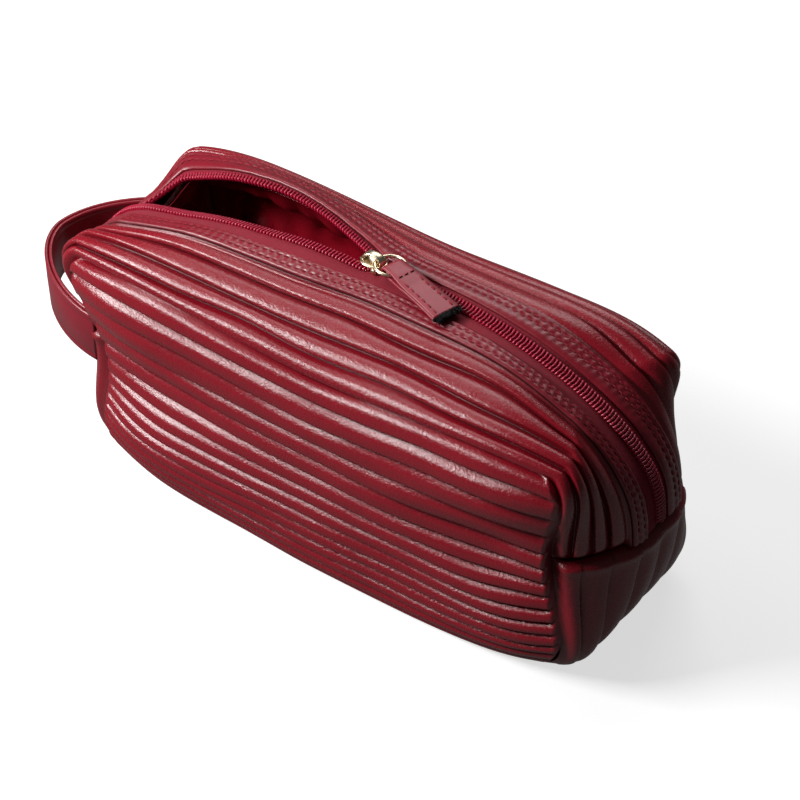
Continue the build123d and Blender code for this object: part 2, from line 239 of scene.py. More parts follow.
def form(xi, eta, zeta):
    """Point of the bag's surface for a point of the cube."""
    xi, eta, zeta = np.broadcast_arrays(*(np.asarray(a, float) for a in (xi, eta, zeta)))
    a, b, c = abs(xi), abs(eta), abs(zeta)
    up = ease((zeta + 0.6) / 1.2)
    weight_xz = (a * c) ** 2 * (1 - b**2) ** 2
    weight_xy = (a * b) ** 2 * (1 - c**2) ** 2
    weight_yz = (b * c) ** 2 * (1 - a**2) ** 2
    weight_corner = (a * b * c) ** 2 + 1e-9
    total = weight_xz + weight_xy + weight_yz + weight_corner + WEIGHT_FACE
    power = (
        weight_xz * mix(*POWER_XZ, up) + weight_xy * POWER_XY + weight_yz * mix(*POWER_YZ, up)
        + weight_corner * mix(*POWER_CORNER, up) + WEIGHT_FACE * POWER_FACE
    ) / total
    shrink = (a**power + b**power + c**power) ** (-1 / power)
    across_x, across_y, lift = xi * shrink, eta * shrink, zeta * shrink
    right, left = ease((xi + 0.1) / 1.1), ease((-xi + 0.1) / 1.1)
    height = HEIGHT - DROP["right"] * right - DROP["left"] * left
    dome = DOME["middle"] * (1 - right - left) + DOME["right"] * right + DOME["left"] * left
    z = -SINK + (lift + 1) / 2 * (height + SINK)
    z = z - dome * abs(across_y) ** DOME_POWER * ease((lift + 0.3) / 1.3)
    x = across_x * (HALF_LENGTH - SHORT_LEFT * left)
    y = across_y * HALF_WIDTH
    x = x - (LEAN["left"] * left + LEAN["right"] * right) * ease((z - LEAN_START) / LEAN_RUN)
    corner = bell(1 - a, CORNER_SPREAD[0]) * bell(1 - b, CORNER_SPREAD[1]) * (1 - 0.5 * c**2)
    push = np.where(xi > 0, PUSH["right"] * np.where(eta < 0, 1.0, PUSH_BACK_RIGHT), PUSH["left"])
    foot = np.clip(1 - z / FOOT_HEIGHT, 0, 1) ** 2
    pinch = PINCH * (xi > 0) * (eta > 0) * bell(zeta - PINCH_ZETA, PINCH_SPREAD)
    x = x + np.sign(xi) * (push - pinch - FOOT_TUCK * foot) * corner
    outwards = (PUSH_ACROSS * push - FOOT_TUCK * foot) * corner - FOOT_DRAW * foot * abs(across_y)
    y = y + np.sign(eta) * outwards
    z = np.where(z < FLOOR_EASE, FLOOR_EASE * np.exp((z - FLOOR_EASE) / FLOOR_EASE), z)
    return np.stack([x, y, np.maximum(z - FLOOR_DROP, 0.0)], -1)


def outward(points):
    """Direction away from the bag's core, the same for every patch that meets at a seam."""
    x = np.clip(points[..., 0], -CORE_HALF_LENGTH, CORE_HALF_LENGTH)
    y = points[..., 1] * CORE_WIDTH_SHARE
    away = points - np.stack([x, y, np.full_like(x, CORE_HEIGHT)], -1)
    return away / np.linalg.norm(away, axis=-1, keepdims=True)


def unit_normal(du, dv, points):
    normal = np.cross(du, dv)
    normal /= np.maximum(np.linalg.norm(normal, axis=-1, keepdims=True), 1e-9)
    flip = np.sum(normal * outward(points), -1, keepdims=True) < 0
    return np.where(flip, -normal, normal)


def eta_for(y, xi, zeta):
    """The cube's eta at which the surface has this y."""
    eta = np.asarray(y, float) / HALF_WIDTH
    for _ in range(8):
        reached = form(xi, eta, zeta)[..., 1]
        eta = np.clip(eta + (y - reached) / HALF_WIDTH, -1, 1)
    return eta


# The zip's track: down the left end, along the top and down the right end, by length from the slider
seam_scan = np.linspace(-0.9, 0.9, 400)
SEAM_ZETA = {
    side: float(np.interp(END_SEAM_Z, form(side, 0, seam_scan)[..., 2], seam_scan)) for side in (-1, 1)
}


def three_runs(end_count, middle_count):
    """Shares along a path: 0 to 1 on the left end, 1 to 2 from end to end, 2 to 3 on the right end."""
    counts = (end_count, middle_count, end_count)
    return np.concatenate([[0.0], *(np.linspace(k, k + 1, count)[1:] for k, count in enumerate(counts))])


def round_the_bag(share, level):
    """Cube's xi and zeta on a path that runs along the top (level 1) or the base (-1) between end seams."""
    xi = np.clip(-1 + 2 * (share - 1), -1, 1)
    right = np.where(share > 2, mix(level, SEAM_ZETA[1], share - 2), level)
    return xi, np.where(share < 1, mix(SEAM_ZETA[-1], level, share), right)


path_share = three_runs(200, 500)
path_xi, path_zeta = round_the_bag(path_share, 1.0)
path_points = form(path_xi, eta_for(ZIP_Y, path_xi, path_zeta), path_zeta)
path_run = np.concatenate([[0], np.cumsum(np.linalg.norm(np.diff(path_points, axis=0), axis=1))])
path_run -= np.interp(SLIDER_X, path_points[250:650, 0], path_run[250:650])
TRACK_START, TRACK_END = float(path_run[0]), float(path_run[-1])


def track(s):
    """The cube's xi and zeta at a length along the zip."""
    return round_the_bag(np.interp(s, path_run, path_share), 1.0)


def top_surface(s, y):
    """Points of the smooth top at a length along the zip and a distance across, and their normals."""
    s, y = np.broadcast_arrays(np.asarray(s, float), np.asarray(y, float))

    def place(s, y):
        xi, zeta = track(s)
        return form(xi, eta_for(y, xi, zeta), zeta)

    points = place(s, y)
    step = 0.6
    return points, unit_normal(place(s + step, y) - place(s - step, y), place(s, y + step) - points, points)


def lip_y(s, offset, side):
    """Y of a line of the zip: offset from the chain's centre on side -1 (front) or 1 (back)."""
    opening = MOUTH_FRONT if side < 0 else MOUTH_BACK
    close = rise((s - MOUTH_END) / MOUTH_END_RUN)
    wide = ease((abs(offset) - CHAIN_HALF_WIDTH) / TAPE_REACH)
    split = mix(SPLIT_AT["chain"], SPLIT_AT["leather"], wide)
    parted = SPLIT_SHIFT * ease((split - s) / mix(SLIDER_LENGTH / 2, LEATHER_RUN, wide)) * close
    chain_opened = rise(-s / MOUTH_RUN)
    leather_opened = ease((LEATHER_LEAD - s) / (MOUTH_RUN + LEATHER_LAG))
    opened = opening * mix(chain_opened, leather_opened, wide) * close
    return ZIP_Y + side * (offset + parted + opened)


def lip_lift(s, offset, side):
    """How far the open lips stand up off the form."""
    if side > 0:
        opened = ease(-s / MOUTH_RUN) * ease((s - TRACK_START - 42) / 45)
    else:
        by_slider = ease(-s / 20) * ease((s + 48) / 26) * LIFT_BY_SLIDER
        by_left_end = ease((-84 - s) / 26) * ease((s - TRACK_START - 12) / 16) * LIFT_BY_LEFT_END
        opened = by_slider + by_left_end
    return LIP_LIFT * opened * (1 - ease((abs(offset) - CHAIN_HALF_WIDTH) / LIP_LIFT_REACH))


def make_object(name, vertices, faces, shade_amounts=None):
    mesh = bpy.data.meshes.new(name)
    mesh.from_pydata((np.asarray(vertices).reshape(-1, 3) * MM).tolist(), [], faces)
    mesh.update()
    # The crease attribute holds painted shade: how far the colour is darkened where shade falls
    if shade_amounts is not None:
        attribute = mesh.attributes.new("crease", "FLOAT", "POINT")
        attribute.data.foreach_set("value", np.asarray(shade_amounts, np.float32).ravel())
    for polygon in mesh.polygons:
        polygon.use_smooth = True
    piece = bpy.data.objects.new(name, mesh)
    scene.collection.objects.link(piece)
    return piece


def grid_faces(rows, columns, start=0, loop=False, flip=False):
    faces = []
    for i in range(rows - 1):
        for j in range(columns if loop else columns - 1):
            k = (j + 1) % columns
            a, b = start + i * columns + j, start + i * columns + k
            face = (a, b, b + columns, a + columns)
            faces.append(face[::-1] if flip else face)
    return faces


def solid_sheet(name, patches, thickness):
    """Closed sheet from grids of (points, normals, painted shade, flip), each thickened inwards."""
    vertices, faces, shade_amounts = [], [], []
    for points, normals, crease, flip in patches:
        rows, columns = points.shape[:2]
        start = len(vertices)
        count = rows * columns
        vertices.extend(points.reshape(-1, 3).tolist())
        vertices.extend((points - normals * thickness).reshape(-1, 3).tolist())
        shade_amounts.extend(crease.ravel().tolist() * 2)
        faces += grid_faces(rows, columns, start, flip=flip)
        faces += grid_faces(rows, columns, start + count, flip=not flip)
        rim = [i * columns for i in range(rows)]
        rim += [(rows - 1) * columns + j for j in range(1, columns)]
        rim += [i * columns + columns - 1 for i in range(rows - 2, -1, -1)]
        rim += list(range(columns - 2, 0, -1))
        for a, b in zip(rim, rim[1:] + rim[:1]):
            face = (start + a, start + b, start + count + b, start + count + a)
            faces.append(face if not flip else face[::-1])
    return make_object(name, vertices, faces, shade_amounts)


def solid_of_rings(name, *parts, shade_amounts=None):
    """One object of closed solids, each made of rings of points and capped at both ends."""
    vertices, faces = [], []
    for rings in parts:
        rings = np.asarray(rings)
        rows, columns = rings.shape[:2]
        first = len(vertices)
        last = first + (rows - 1) * columns
        vertices.extend(rings.reshape(-1, 3).tolist())
        faces += grid_faces(rows, columns, first, loop=True)
        faces.append(tuple(first + j for j in range(columns - 1, -1, -1)))
        faces.append(tuple(last + j for j in range(columns)))
    return make_object(name, vertices, faces, shade_amounts)


# A knife pleat's section: share of its width, height as a share of its depth, and painted shade, darkest in
# the crease and under the fold's edge
PLEAT = np.array([
    (0.00, -0.35, 1.0), (0.04, -0.30, 0.7), (0.10, -0.14, 0.35), (0.18, 0.12, 0.12), (0.27, 0.44, 0.03),
    (0.36, 0.72, 0.0), (0.46, 0.90, 0.0), (0.58, 0.98, 0.0), (0.72, 1.00, 0.0), (0.86, 0.97, 0.0),
    (0.945, 0.86, 0.0), (0.985, 0.62, 0.1), (1.00, 0.38, 0.5), (0.99, 0.05, 0.9), (0.965, -0.20, 1.0),
])


def pleat_samples(edges):
    """Pleats between consecutive edges: places across, heights, painted shade, pleat numbers and shares."""
    where, height, crease, number, shares = [], [], [], [], []
    for i, (near, far) in enumerate(zip(edges, edges[1:])):
        for share, lift, dark in PLEAT:
            where.append(near + (far - near) * share)
            height.append(lift)
            crease.append(dark)
            number.append(i)
            shares.append(share)
    where.append(edges[-1])
    height.append(-0.35)
    crease.append(1.0)
    number.append(len(edges) - 2)
    shares.append(1.0)
    return (np.array(a) for a in (where, height, crease, number, shares))


def pleat_wave(along, number, share, cell, seed):
    """How far the folds wander, the same on both sides of each fold."""
    near, far = (smooth_noise(along, (number[None, :] + k) * 5.7, cell, 1.0, seed) for k in (0, 1))
    return mix(near, far, share[None, :])


def seam_window(distance, reach=SEAM_REACH):
    """0 at a seam to 1 at reach from it."""
    return ease(distance / reach) ** 0.7


def shared_edge(points, xi):
    """Place of the crease between a wall and the top, the same for both patches."""
    window = seam_window((1 - abs(xi)) * HALF_LENGTH)
    return points - outward(points) * mix(SEAM_DEPTH, EDGE_SINK, window)[..., None]


def wall_patch(side):
    """Front (-1) or back (1) wall: points, normals and painted shade, with pleats that run along the bag.
    """
    widths = np.geomspace(WALL_PLEAT_TOP, WALL_PLEAT_FOOT, WALL_PLEATS)
    edges = np.concatenate([[0], np.cumsum(widths)]) / widths.sum()
    across, lift, crease, number, share = pleat_samples(edges)
    scan = np.linspace(1, -1, 400)
    girth = form(0, side, scan)
    run = np.concatenate([[0], np.cumsum(np.linalg.norm(np.diff(girth, axis=0), axis=1))])
    zeta_line = np.interp(across * run[-1], run, scan)
    crowd = math.pi / 2 * 0.92
    xi_line = np.sin(np.linspace(-1, 1, WALL_COLUMNS) * crowd) / math.sin(crowd)
    xi, zeta = np.meshgrid(xi_line, zeta_line, indexing="ij")
    along = xi * HALF_LENGTH
    wave = pleat_wave(along, number, share, 26, 11 + side)
    zeta = np.clip(zeta + wave * WALL_WANDER * (1 - abs(zeta) ** 8), -1, 1)
    points = form(xi, side, zeta)
    step = 0.004
    du = form(np.clip(xi + step, -1, 1), side, zeta) - form(np.clip(xi - step, -1, 1), side, zeta)
    dv = form(xi, side, np.clip(zeta + step, -1, 1)) - form(xi, side, np.clip(zeta - step, -1, 1))
    normals = unit_normal(du, dv, points)
    edge = seam_window((1 - abs(xi)) * HALF_LENGTH)
    foot = ease((zeta + 1) / 0.12)
    depth = WALL_PLEAT_DEPTH * (widths[number] / widths[0])[None, :] ** WALL_DEPTH_POWER
    depth = depth * (1 + WALL_DEPTH_VARIES * smooth_noise(along, number[None, :] * 3.1, 38, 1.0, 5 + side))
    swell = smooth_noise(along, zeta * 60, 45, 30, 21 + side) * WALL_SWELL
    calm = ease((1 - abs(xi)) * HALF_LENGTH / WALL_END_CALM + 0.12)
    height = ((lift[None, :] - 1) * depth * calm + swell) * edge * mix(0.15, 1, foot)
    moved = points + normals * height[..., None] - outward(points) * (SEAM_DEPTH * (1 - edge))[..., None]
    near = (1 - ease((1 - zeta) / 0.012))[..., None]
    moved = mix(moved, shared_edge(points, xi), near)
    moved[..., 2] = np.maximum(moved[..., 2], 0.0)
    # Painted shade: dark in each pleat's crease and in the sunk seams at the ends
    dark = np.maximum(np.broadcast_to(crease[None, :], xi.shape) * edge, (1 - edge) * 0.8)
    return moved, normals, dark


def top_patch(side):
    """Half of the top and of both upper ends, with pleats that run along the zip."""
    edges = np.linspace(0, 1, TOP_PLEATS + 1)
    across, lift, crease, number, share = pleat_samples(edges)
    s_line = np.linspace(TRACK_START, TRACK_END, TOP_ROWS)
    s, v = np.meshgrid(s_line, across, indexing="ij")
    xi, _ = track(s)
    wave = pleat_wave(s, number, share, 33, 31 + side) * TOP_WANDER
    v = np.clip(v + wave * (v * (1 - v) * 4), 0, 1)

    def place(s, v):
        xi, zeta = track(s)
        lip = eta_for(lip_y(s, FACING_OUTER + 0.2, side), xi, zeta)
        return form(xi, mix(lip, side, v), zeta)

    points = place(s, v)
    step = 0.8
    after, before = (np.clip(s + move, TRACK_START, TRACK_END) for move in (step, -step))
    du = place(after, v) - place(before, v)
    dv = place(s, np.clip(v + 0.01, 0, 1)) - place(s, np.clip(v - 0.01, 0, 1))
    normals = unit_normal(du, dv, points)
    edge = seam_window(np.minimum(s - TRACK_START, TRACK_END - s))
    end = ease((abs(s) - 105) / 40)
    corner = mix(1.0, seam_window((1 - v) * 38), end)
    varied = TOP_DEPTH_VARIES * smooth_noise(s, number[None, :] * 3.1, 40, 1.0, 41 + side)
    depth = TOP_PLEAT_DEPTH * (1 + varied)
    swell = smooth_noise(s, v * 40, 50, 25, 51 + side) * TOP_SWELL * ease(v / 0.2)
    window = edge * corner
    height = np.maximum((lift[None, :] - 1) * depth + swell, -TOP_DEEPEST) * window
    moved = points + normals * height[..., None] - outward(points) * (SEAM_DEPTH * (1 - window))[..., None]
    near = (1 - ease((1 - v) / 0.03))[..., None]
    moved = mix(moved, shared_edge(points, xi), near)
    beside = (1 - ease(v / 0.06))[..., None]
    raised = (lip_lift(s, FACING_OUTER, side) - LIP_SET_IN)[..., None]
    moved = mix(moved, points + normals * raised, beside)
    # Painted shade: dark in each pleat's crease and in the sunk seams
    dark = np.maximum(np.broadcast_to(crease[None, :], s.shape) * window, (1 - window) * 0.8)
    return moved, normals, dark


def base_patch():
    """The flat base with both ends turned up as puffed flaps, with pleats that run up the ends."""
    edges = np.linspace(-1, 1, BASE_PLEATS + 1)
    across, lift, crease, number, _ = pleat_samples(edges)
    share, eta = np.meshgrid(three_runs(60, 90), across, indexing="ij")
    xi, zeta = round_the_bag(share, -1.0)
    low = np.clip((SEAM_ZETA[1] - zeta) / (SEAM_ZETA[1] + 1), 0, 1) * (share > 2)
    eta = eta - FLAP_DRAW * low * (1 - eta**2)
    points = form(xi, eta, zeta)
    step = 0.004
    du = np.gradient(points, axis=0)
    dv = form(xi, np.clip(eta + step, -1, 1), zeta) - form(xi, np.clip(eta - step, -1, 1), zeta)
    normals = unit_normal(du, dv, points)
    fall = END_SEAM_Z - points[..., 2]
    seam = seam_window(fall, FLAP_SEAM_REACH)
    rolled = FLAP_BEAD * bell(fall - 3.4, 2.0) * ease(fall / 3.0)
    side_window = seam_window((1 - abs(eta)) * HALF_WIDTH)
    upright = ease((points[..., 2] - 1) / 14)
    window = seam * mix(1.0, side_window, upright)
    varied = BASE_DEPTH_VARIES * smooth_noise(points[..., 2], number[None, :] * 4.9, 22, 1.0, 61)
    puff = FLAP_PUFF * np.where(share < 1, FLAP_PUFF_LEFT, 1.0) * (1 - eta**2) + rolled
    calm = mix(0.25, 1.0, ease((fall - 2) / 11))
    depth = BASE_PLEAT_DEPTH * calm * (1 + varied)
    height = ((lift[None, :] - 1) * depth + puff) * window * upright
    sunk = SEAM_DEPTH * (1 - window) * upright
    moved = points + normals * height[..., None] - outward(points) * sunk[..., None]
    moved[..., 2] = np.maximum(moved[..., 2], 0.0)
    # Painted shade: dark in each pleat's crease and in the sunk seams
    dark = np.maximum(np.broadcast_to(crease[None, :], xi.shape), (1 - window) * 0.8) * upright
    return moved, normals, dark


def nodes_for(name):
    material = bpy.data.materials.new(name)
    material.use_nodes = True
    tree = material.node_tree
    return material, tree, tree.nodes["Principled BSDF"]


def add(tree, kind, **values):
    node = tree.nodes.new(kind)
    for key, value in values.items():
        if key in node.inputs.keys():
            node.inputs[key].default_value = value
        else:
            setattr(node, key, value)
    return node


def ramp(tree, source, stops):
    node = tree.nodes.new("ShaderNodeValToRGB")
    elements = node.color_ramp.elements
    while len(elements) > 1:
        elements.remove(elements[-1])
    for i, (place, colour) in enumerate(stops):
        element = elements[0] if i == 0 else elements.new(place)
        element.position = place
        element.color = (*colour, 1.0) if len(colour) == 3 else colour
    tree.links.new(source, node.inputs["Fac"])
    return node.outputs["Color"]


def mixed(tree, factor, a, b, blend="MIX"):
    node = tree.nodes.new("ShaderNodeMix")
    node.data_type = "RGBA"
    node.blend_type = blend
    for socket, value in ((node.inputs["Factor"], factor), (node.inputs[6], a), (node.inputs[7], b)):
        if isinstance(value, bpy.types.NodeSocket):
            tree.links.new(value, socket)
        else:
            socket.default_value = value if not isinstance(value, tuple) else (*value, 1.0)[:4]
    return node.outputs[2]


def leather(name, colour, shade_colour, roughness, grain=0.25):
    """Soft coated leather: mottled colour, painted shade that darkens it in folds and sunk seams, fine
    grain and small wrinkles.
    """
    material, tree, shader = nodes_for(name)
    place = tree.nodes.new("ShaderNodeTexCoord").outputs["Object"]
    mottle = add(tree, "ShaderNodeTexNoise", Scale=60.0, Detail=4.0, Roughness=0.6)
    tree.links.new(place, mottle.inputs["Vector"])
    base = ramp(tree, mottle.outputs["Fac"], [(0.3, tuple(c * 0.86 for c in colour)), (0.7, colour)])
    # Painted shade: the crease attribute darkens the colour towards the shade colour in each crease, under
    # fold edges and in sunk seams
    crease = add(tree, "ShaderNodeAttribute", attribute_name="crease")
    tint = ramp(tree, crease.outputs["Fac"], [(0.0, (0, 0, 0)), (0.5, (0.35,) * 3), (1.0, (0.95,) * 3)])
    tree.links.new(mixed(tree, tint, base, shade_colour), shader.inputs["Base Color"])
    grain_cells = add(tree, "ShaderNodeTexVoronoi", Scale=1500.0)
    fine = add(tree, "ShaderNodeTexNoise", Scale=1000.0, Detail=4.0, Roughness=0.65)
    soft = add(tree, "ShaderNodeTexNoise", Scale=150.0, Detail=3.0, Roughness=0.5)
    for texture in (grain_cells, fine, soft):
        tree.links.new(place, texture.inputs["Vector"])
    fine_bump = add(tree, "ShaderNodeBump", Strength=grain, Distance=0.00028)
    tree.links.new(fine.outputs["Fac"], fine_bump.inputs["Height"])
    cell_bump = add(tree, "ShaderNodeBump", Strength=grain * 0.6, Distance=0.00012)
    tree.links.new(grain_cells.outputs["Distance"], cell_bump.inputs["Height"])
    tree.links.new(fine_bump.outputs["Normal"], cell_bump.inputs["Normal"])
    soft_bump = add(tree, "ShaderNodeBump", Strength=0.12, Distance=0.0012)
    tree.links.new(soft.outputs["Fac"], soft_bump.inputs["Height"])
    tree.links.new(cell_bump.outputs["Normal"], soft_bump.inputs["Normal"])
    tree.links.new(soft_bump.outputs["Normal"], shader.inputs["Normal"])
    gloss = add(tree, "ShaderNodeMapRange")
    gloss.inputs["To Min"].default_value = roughness - 0.06
    gloss.inputs["To Max"].default_value = roughness + 0.08
    tree.links.new(fine.outputs["Fac"], gloss.inputs["Value"])
    dull = add(tree, "ShaderNodeMath", operation="MULTIPLY_ADD")
    tree.links.new(crease.outputs["Fac"], dull.inputs[0])
    dull.inputs[1].default_value = 0.2
    tree.links.new(gloss.outputs["Result"], dull.inputs[2])
    tree.links.new(dull.outputs[0], shader.inputs["Roughness"])
    shader.inputs["Specular IOR Level"].default_value = 0.7
    return material


def cloth(name, colour, scale, strength, roughness, sheen=0.2):
    """Woven cloth: crossed ribs for bump and a slight change of colour between them."""
    material, tree, shader = nodes_for(name)
    place = tree.nodes.new("ShaderNodeTexCoord").outputs["Object"]
    waves = []
    for direction in ("X", "Y"):
        wave = add(tree, "ShaderNodeTexWave", Scale=scale, Distortion=0.6)
        wave.bands_direction = direction
        tree.links.new(place, wave.inputs["Vector"])
        waves.append(wave.outputs["Fac"])
    weave = add(tree, "ShaderNodeMath", operation="MULTIPLY")
    tree.links.new(waves[0], weave.inputs[0])
    tree.links.new(waves[1], weave.inputs[1])
    dark = tuple(c * 0.65 for c in colour)
    tree.links.new(mixed(tree, weave.outputs[0], dark, colour), shader.inputs["Base Color"])
    bump = add(tree, "ShaderNodeBump", Strength=strength, Distance=0.0002)
    tree.links.new(weave.outputs[0], bump.inputs["Height"])
    tree.links.new(bump.outputs["Normal"], shader.inputs["Normal"])
    shader.inputs["Roughness"].default_value = roughness
    shader.inputs["Sheen Weight"].default_value = sheen
    return material


def metal(name, colour):
    """Polished gold plate with faint wear."""
    material, tree, shader = nodes_for(name)
    place = tree.nodes.new("ShaderNodeTexCoord").outputs["Object"]
    wear = add(tree, "ShaderNodeTexNoise", Scale=400.0, Detail=4.0)
    tree.links.new(place, wear.inputs["Vector"])
    tint = ramp(tree, wear.outputs["Fac"], [(0.35, tuple(c * 0.9 for c in colour)), (0.65, colour)])
    tree.links.new(tint, shader.inputs["Base Color"])
    gloss = add(tree, "ShaderNodeMapRange")
    gloss.inputs["To Min"].default_value = 0.24
    gloss.inputs["To Max"].default_value = 0.38
    tree.links.new(wear.outputs["Fac"], gloss.inputs["Value"])
    tree.links.new(gloss.outputs["Result"], shader.inputs["Roughness"])
    shader.inputs["Metallic"].default_value = 1.0
    return material


RED = (0.32, 0.006, 0.018)
# Painted shade: the leather's colour where the crease attribute darkens it, in folds and sunk seams
CREASE_SHADE_RED = (0.075, 0.001, 0.004)
pleated_leather = leather("pleated_leather", RED, CREASE_SHADE_RED, 0.26, 0.6)
smooth_leather = leather("smooth_leather", (0.29, 0.008, 0.022), CREASE_SHADE_RED, 0.34)
satin = cloth("satin", (0.42, 0.006, 0.02), 1200.0, 0.15, 0.3, 0.0)
tape_weave = cloth("zip_tape", (0.42, 0.005, 0.03), 900.0, 0.7, 0.75, 0.04)
coil_plastic = cloth("zip_coil", (0.6, 0.008, 0.055), 700.0, 0.1, 0.35, 0.0)
thread = cloth("thread", (0.46, 0.004, 0.03), 2500.0, 0.4, 0.6, 0.0)
tab_leather = leather("tab_leather", (0.36, 0.02, 0.04), CREASE_SHADE_RED, 0.42, 0.12)
black_thread = cloth("black_thread", (0.006, 0.006, 0.007), 1800.0, 0.9, 0.85, 0.0)
foam = cloth("padding", (0.75, 0.72, 0.7), 300.0, 0.3, 0.9)
gold = metal("gold_metal", (1.0, 0.86, 0.62))


def finish_piece(piece, material, body, replaced=()):
    piece.data.materials.append(material)
    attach(piece, body)
    if replaced:
        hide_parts(*replaced)
    return piece


# Leather shells
for side, name in ((-1, "front"), (1, "back")):
    wall = wall_patch(side)
    top = top_patch(side)
    shell = solid_sheet(
        "outer_" + name + "_leather", [(*wall, side < 0), (*top, side > 0)], LEATHER
    )
    finish_piece(shell, pleated_leather, "bag", ["outer_" + name])
base = solid_sheet("base_leather", [(*base_patch(), True)], LEATHER)
finish_piece(base, pleated_leather, "bag", ["base_panel"])


def inner_shell(name, side, depth, thickness, crumple, seed, gap, hem, closing):
    """Half of a layer inside the leather, open at the mouth, where its edge rises to the depth hem."""
    s_line = np.linspace(TRACK_START, TRACK_END, 150)
    s, v = np.meshgrid(s_line, np.linspace(0, 1, 28), indexing="ij")
    xi, zeta = track(s)
    closed = ease((abs(s + 12) - closing) / 20)
    lip = eta_for(mix(lip_y(s, gap, side), ZIP_Y + side * 0.1, closed), xi, zeta)
    top = form(xi, mix(lip, side, v), zeta)
    xi_line, zeta_line = np.meshgrid(np.linspace(-1, 1, 110), np.linspace(1, -1, 44), indexing="ij")
    wall = form(xi_line, side, zeta_line)
    share, eta = np.meshgrid(three_runs(26, 70), np.linspace(0, side, 16), indexing="ij")
    xi, zeta = round_the_bag(share, -1.0)
    base = form(xi, eta, zeta)
    patches = []
    hung = {0: ease(v / 0.4), 1: 1.0, 2: 1.0}
    for number, (points, flip) in enumerate(((top, side > 0), (wall, side < 0), (base, side < 0))):
        away = outward(points)
        along, up = points[..., 0], points[..., 2] + points[..., 1]
        folds = 1 - 1.6 * abs(smooth_noise(along + 0.6 * up, up - 0.3 * along, 13, 11, seed))
        folds = folds + 0.4 * smooth_noise(along, up, 5, 6, seed + 1)
        near_zip = mix(hem, 6.0, closed) if number == 0 else hem
        inset = mix(near_zip, depth + crumple * (1 - folds) * 0.7, hung[number])
        moved = points - away * inset[..., None]
        moved[..., 2] = np.maximum(moved[..., 2], depth * 0.6)
        patches.append((moved, away, np.zeros(points.shape[:2]), flip))
    return solid_sheet(name, patches, thickness)


for side, name in ((-1, "front"), (1, "back")):
    backing = inner_shell(
        "padding_" + name + "_foam", side, depth=PADDING_DEPTH, thickness=PADDING, crumple=0.0, seed=71,
        gap=FACING_OUTER + 2, hem=7.0, closing=118,
    )
    finish_piece(backing, foam, "bag", ["padding_" + name])
    inner = inner_shell(
        "lining_" + name + "_satin", side, depth=LINING_DEPTH, thickness=0.5, crumple=5.0, seed=81 + side,
        gap=4.5, hem=2.0, closing=86,
    )
    finish_piece(inner, satin, "bag", ["lining_" + name])


def strip(name, side, section, start, end, count, shade_amounts=None, pucker=0.0):
    """Solid that follows the zip. The section is a closed loop of (offset, height)."""
    s = np.linspace(start, end, count)
    rings = []
    for offset, height in section:
        points, normals = top_surface(s, lip_y(s, offset, side))
        stitched = sum(bell(offset - row, 1.1) for row in STITCH_ROWS)
        wave = np.cos(2 * math.pi * (s - start - STITCH_START - STITCH_LENGTH / 2) / STITCH_PITCH)
        uneven = smooth_noise(s, np.full_like(s, offset * 3), 4.0, 2.0, 91 + side)
        lift = height + lip_lift(s, offset, side) + pucker * (uneven - stitched * wave)
        rings.append(points + normals * np.asarray(lift)[:, None])
    rings = np.stack(rings, 1)
    if side > 0:
        rings = rings[:, ::-1]
    dark = None
    # Painted shade for each point of the section, the same all along the strip
    if shade_amounts is not None:
        dark = np.tile(np.array(shade_amounts if side < 0 else shade_amounts[::-1]), (count, 1))
    return solid_of_rings(name, rings, shade_amounts=dark)


# Facings: folded leather strips beside the zip, sewn down in two rows
ZIP_START, ZIP_END = TRACK_START + 1.0, TRACK_END - 1.0
FACING_SECTION = (
    (8.4, -0.6), (8.45, -0.1), (8.8, 0.35), (9.4, 0.5), (9.9, 0.25), (10.3, 0.12), (10.7, 0.3),
    (11.4, 0.5), (12.2, 0.5), (12.9, 0.3), (13.3, 0.12), (13.7, 0.3), (14.3, 0.55), (15.0, 0.5),
    (15.5, 0.15), (15.7, -0.5), (15.6, -1.0), (12.0, -1.1), (8.6, -1.0),
)
# Painted shade at each point of the facing's section: dark at its folded edges and in the two stitch
# channels
FACING_SHADE = [1.0, 0.3, 0, 0, 0.25, 0.5, 0.25, 0, 0, 0.25, 0.5, 0.25, 0, 0, 0.3, 1.0, 1.0, 1.0, 1.0]
TAPE_SECTION = ((2.3, -0.9), (2.9, -0.75), (8.0, -0.75), (14.0, -1.15), (14.0, -1.7), (2.4, -1.45))
for side, name in ((-1, "front"), (1, "back")):
    reach = FACING_BACK_REACH if side > 0 else 0.0
    section = [(offset - reach * float(ease((10.0 - offset) / 1.2)), up) for offset, up in FACING_SECTION]
    facing = strip(
        "facing_" + name + "_leather", side, section, ZIP_START, ZIP_END, 900, FACING_SHADE, FACING_PUCKER
    )
    finish_piece(facing, smooth_leather, "bag", ["facing_" + name])
    tape = strip("zip_tape_" + name + "_weave", side, TAPE_SECTION, ZIP_START, ZIP_END, 240)
    finish_piece(tape, tape_weave, "bag", ["zip_tape_" + name])


def capsule(start, end, radius, sides=6):
    """Rings of points of a rounded rod between two points."""
    axis = end - start
    length = np.linalg.norm(axis)
    axis = axis / length
    across = np.cross(axis, [0.3, 0.2, 0.93])
    across /= np.linalg.norm(across)
    up = np.cross(axis, across)
    rings = []
    for along, share in ((0, 0.25), (0.12, 0.85), (0.5, 1.0), (0.88, 0.85), (1.0, 0.25)):
        ring = []
        for k in range(sides):
            angle = 2 * math.pi * k / sides
            offset = (across * math.cos(angle) + up * math.sin(angle)) * radius * share
            ring.append(start + axis * length * along + offset)
        rings.append(ring)
    return rings


def stitches(name, rows, material, body, radius=STITCH_RADIUS):
    """One object of rounded stitches, each between a start and an end point."""
    rods = [capsule(np.asarray(start), np.asarray(end), radius) for start, end in rows]
    return finish_piece(solid_of_rings(name, *rods), material, body)


